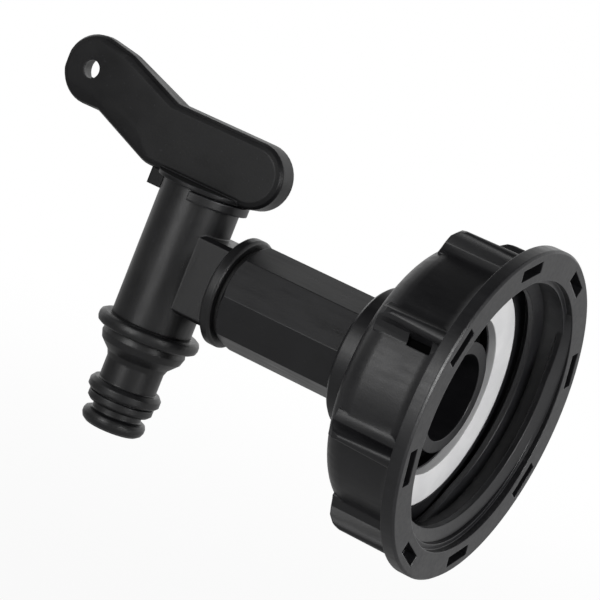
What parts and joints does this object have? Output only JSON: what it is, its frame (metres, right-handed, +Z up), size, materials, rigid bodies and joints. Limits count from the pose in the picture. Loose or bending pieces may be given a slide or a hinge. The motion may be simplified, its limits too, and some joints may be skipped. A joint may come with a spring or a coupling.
{
  "type": "tank tap adapter",
  "caption": "Plug tap with a lever and hose outlet on an eight-sided sleeve, held by a large coarse-threaded union nut with grip ribs and a white washer.",
  "frame": {"origin": "on the union nut's axis, at the inner end of its thread", "axes": "+X along the pipe and out of the nut's mouth, +Z up the tap's barrel towards the lever"},
  "size_m": [0.128, 0.076, 0.0803],
  "materials": {
    "nut_plastic": "moulded black plastic, soft sheen",
    "tail_plastic": "moulded black plastic, satin",
    "tap_plastic": "moulded black plastic, satin",
    "lever_plastic": "moulded black plastic, matt",
    "washer_white": "white flat seal, matt",
    "seal_black": "black rubber",
    "clip_steel": "spring steel"
  },
  "bodies": {
    "nut": {"union_nut": "nut_plastic"},
    "tap": {"tailpiece": "tail_plastic", "tank_washer": "washer_white", "sleeve_gasket": "seal_black", "tap_body": "tap_plastic", "port_seal": "seal_black", "outlet_spigot": "tap_plastic", "outlet_seal": "seal_black"},
    "lever": {"lever_plug": "lever_plastic", "upper_plug_seal": "seal_black", "lower_plug_seal": "seal_black", "plug_clip": "clip_steel"}
  },
  "joints": [
    {"name": "tap_swivel", "type": "hinge", "parent": "nut", "child": "tap", "pos_m": [0, 0, 0], "axis": [1, 0, 0], "continuous": true},
    {"name": "lever_turn", "type": "hinge", "parent": "tap", "child": "lever", "pos_m": [-0.0741, 0, 0], "axis": [0, 0, 1], "range_deg": [0, 90]}
  ]
}
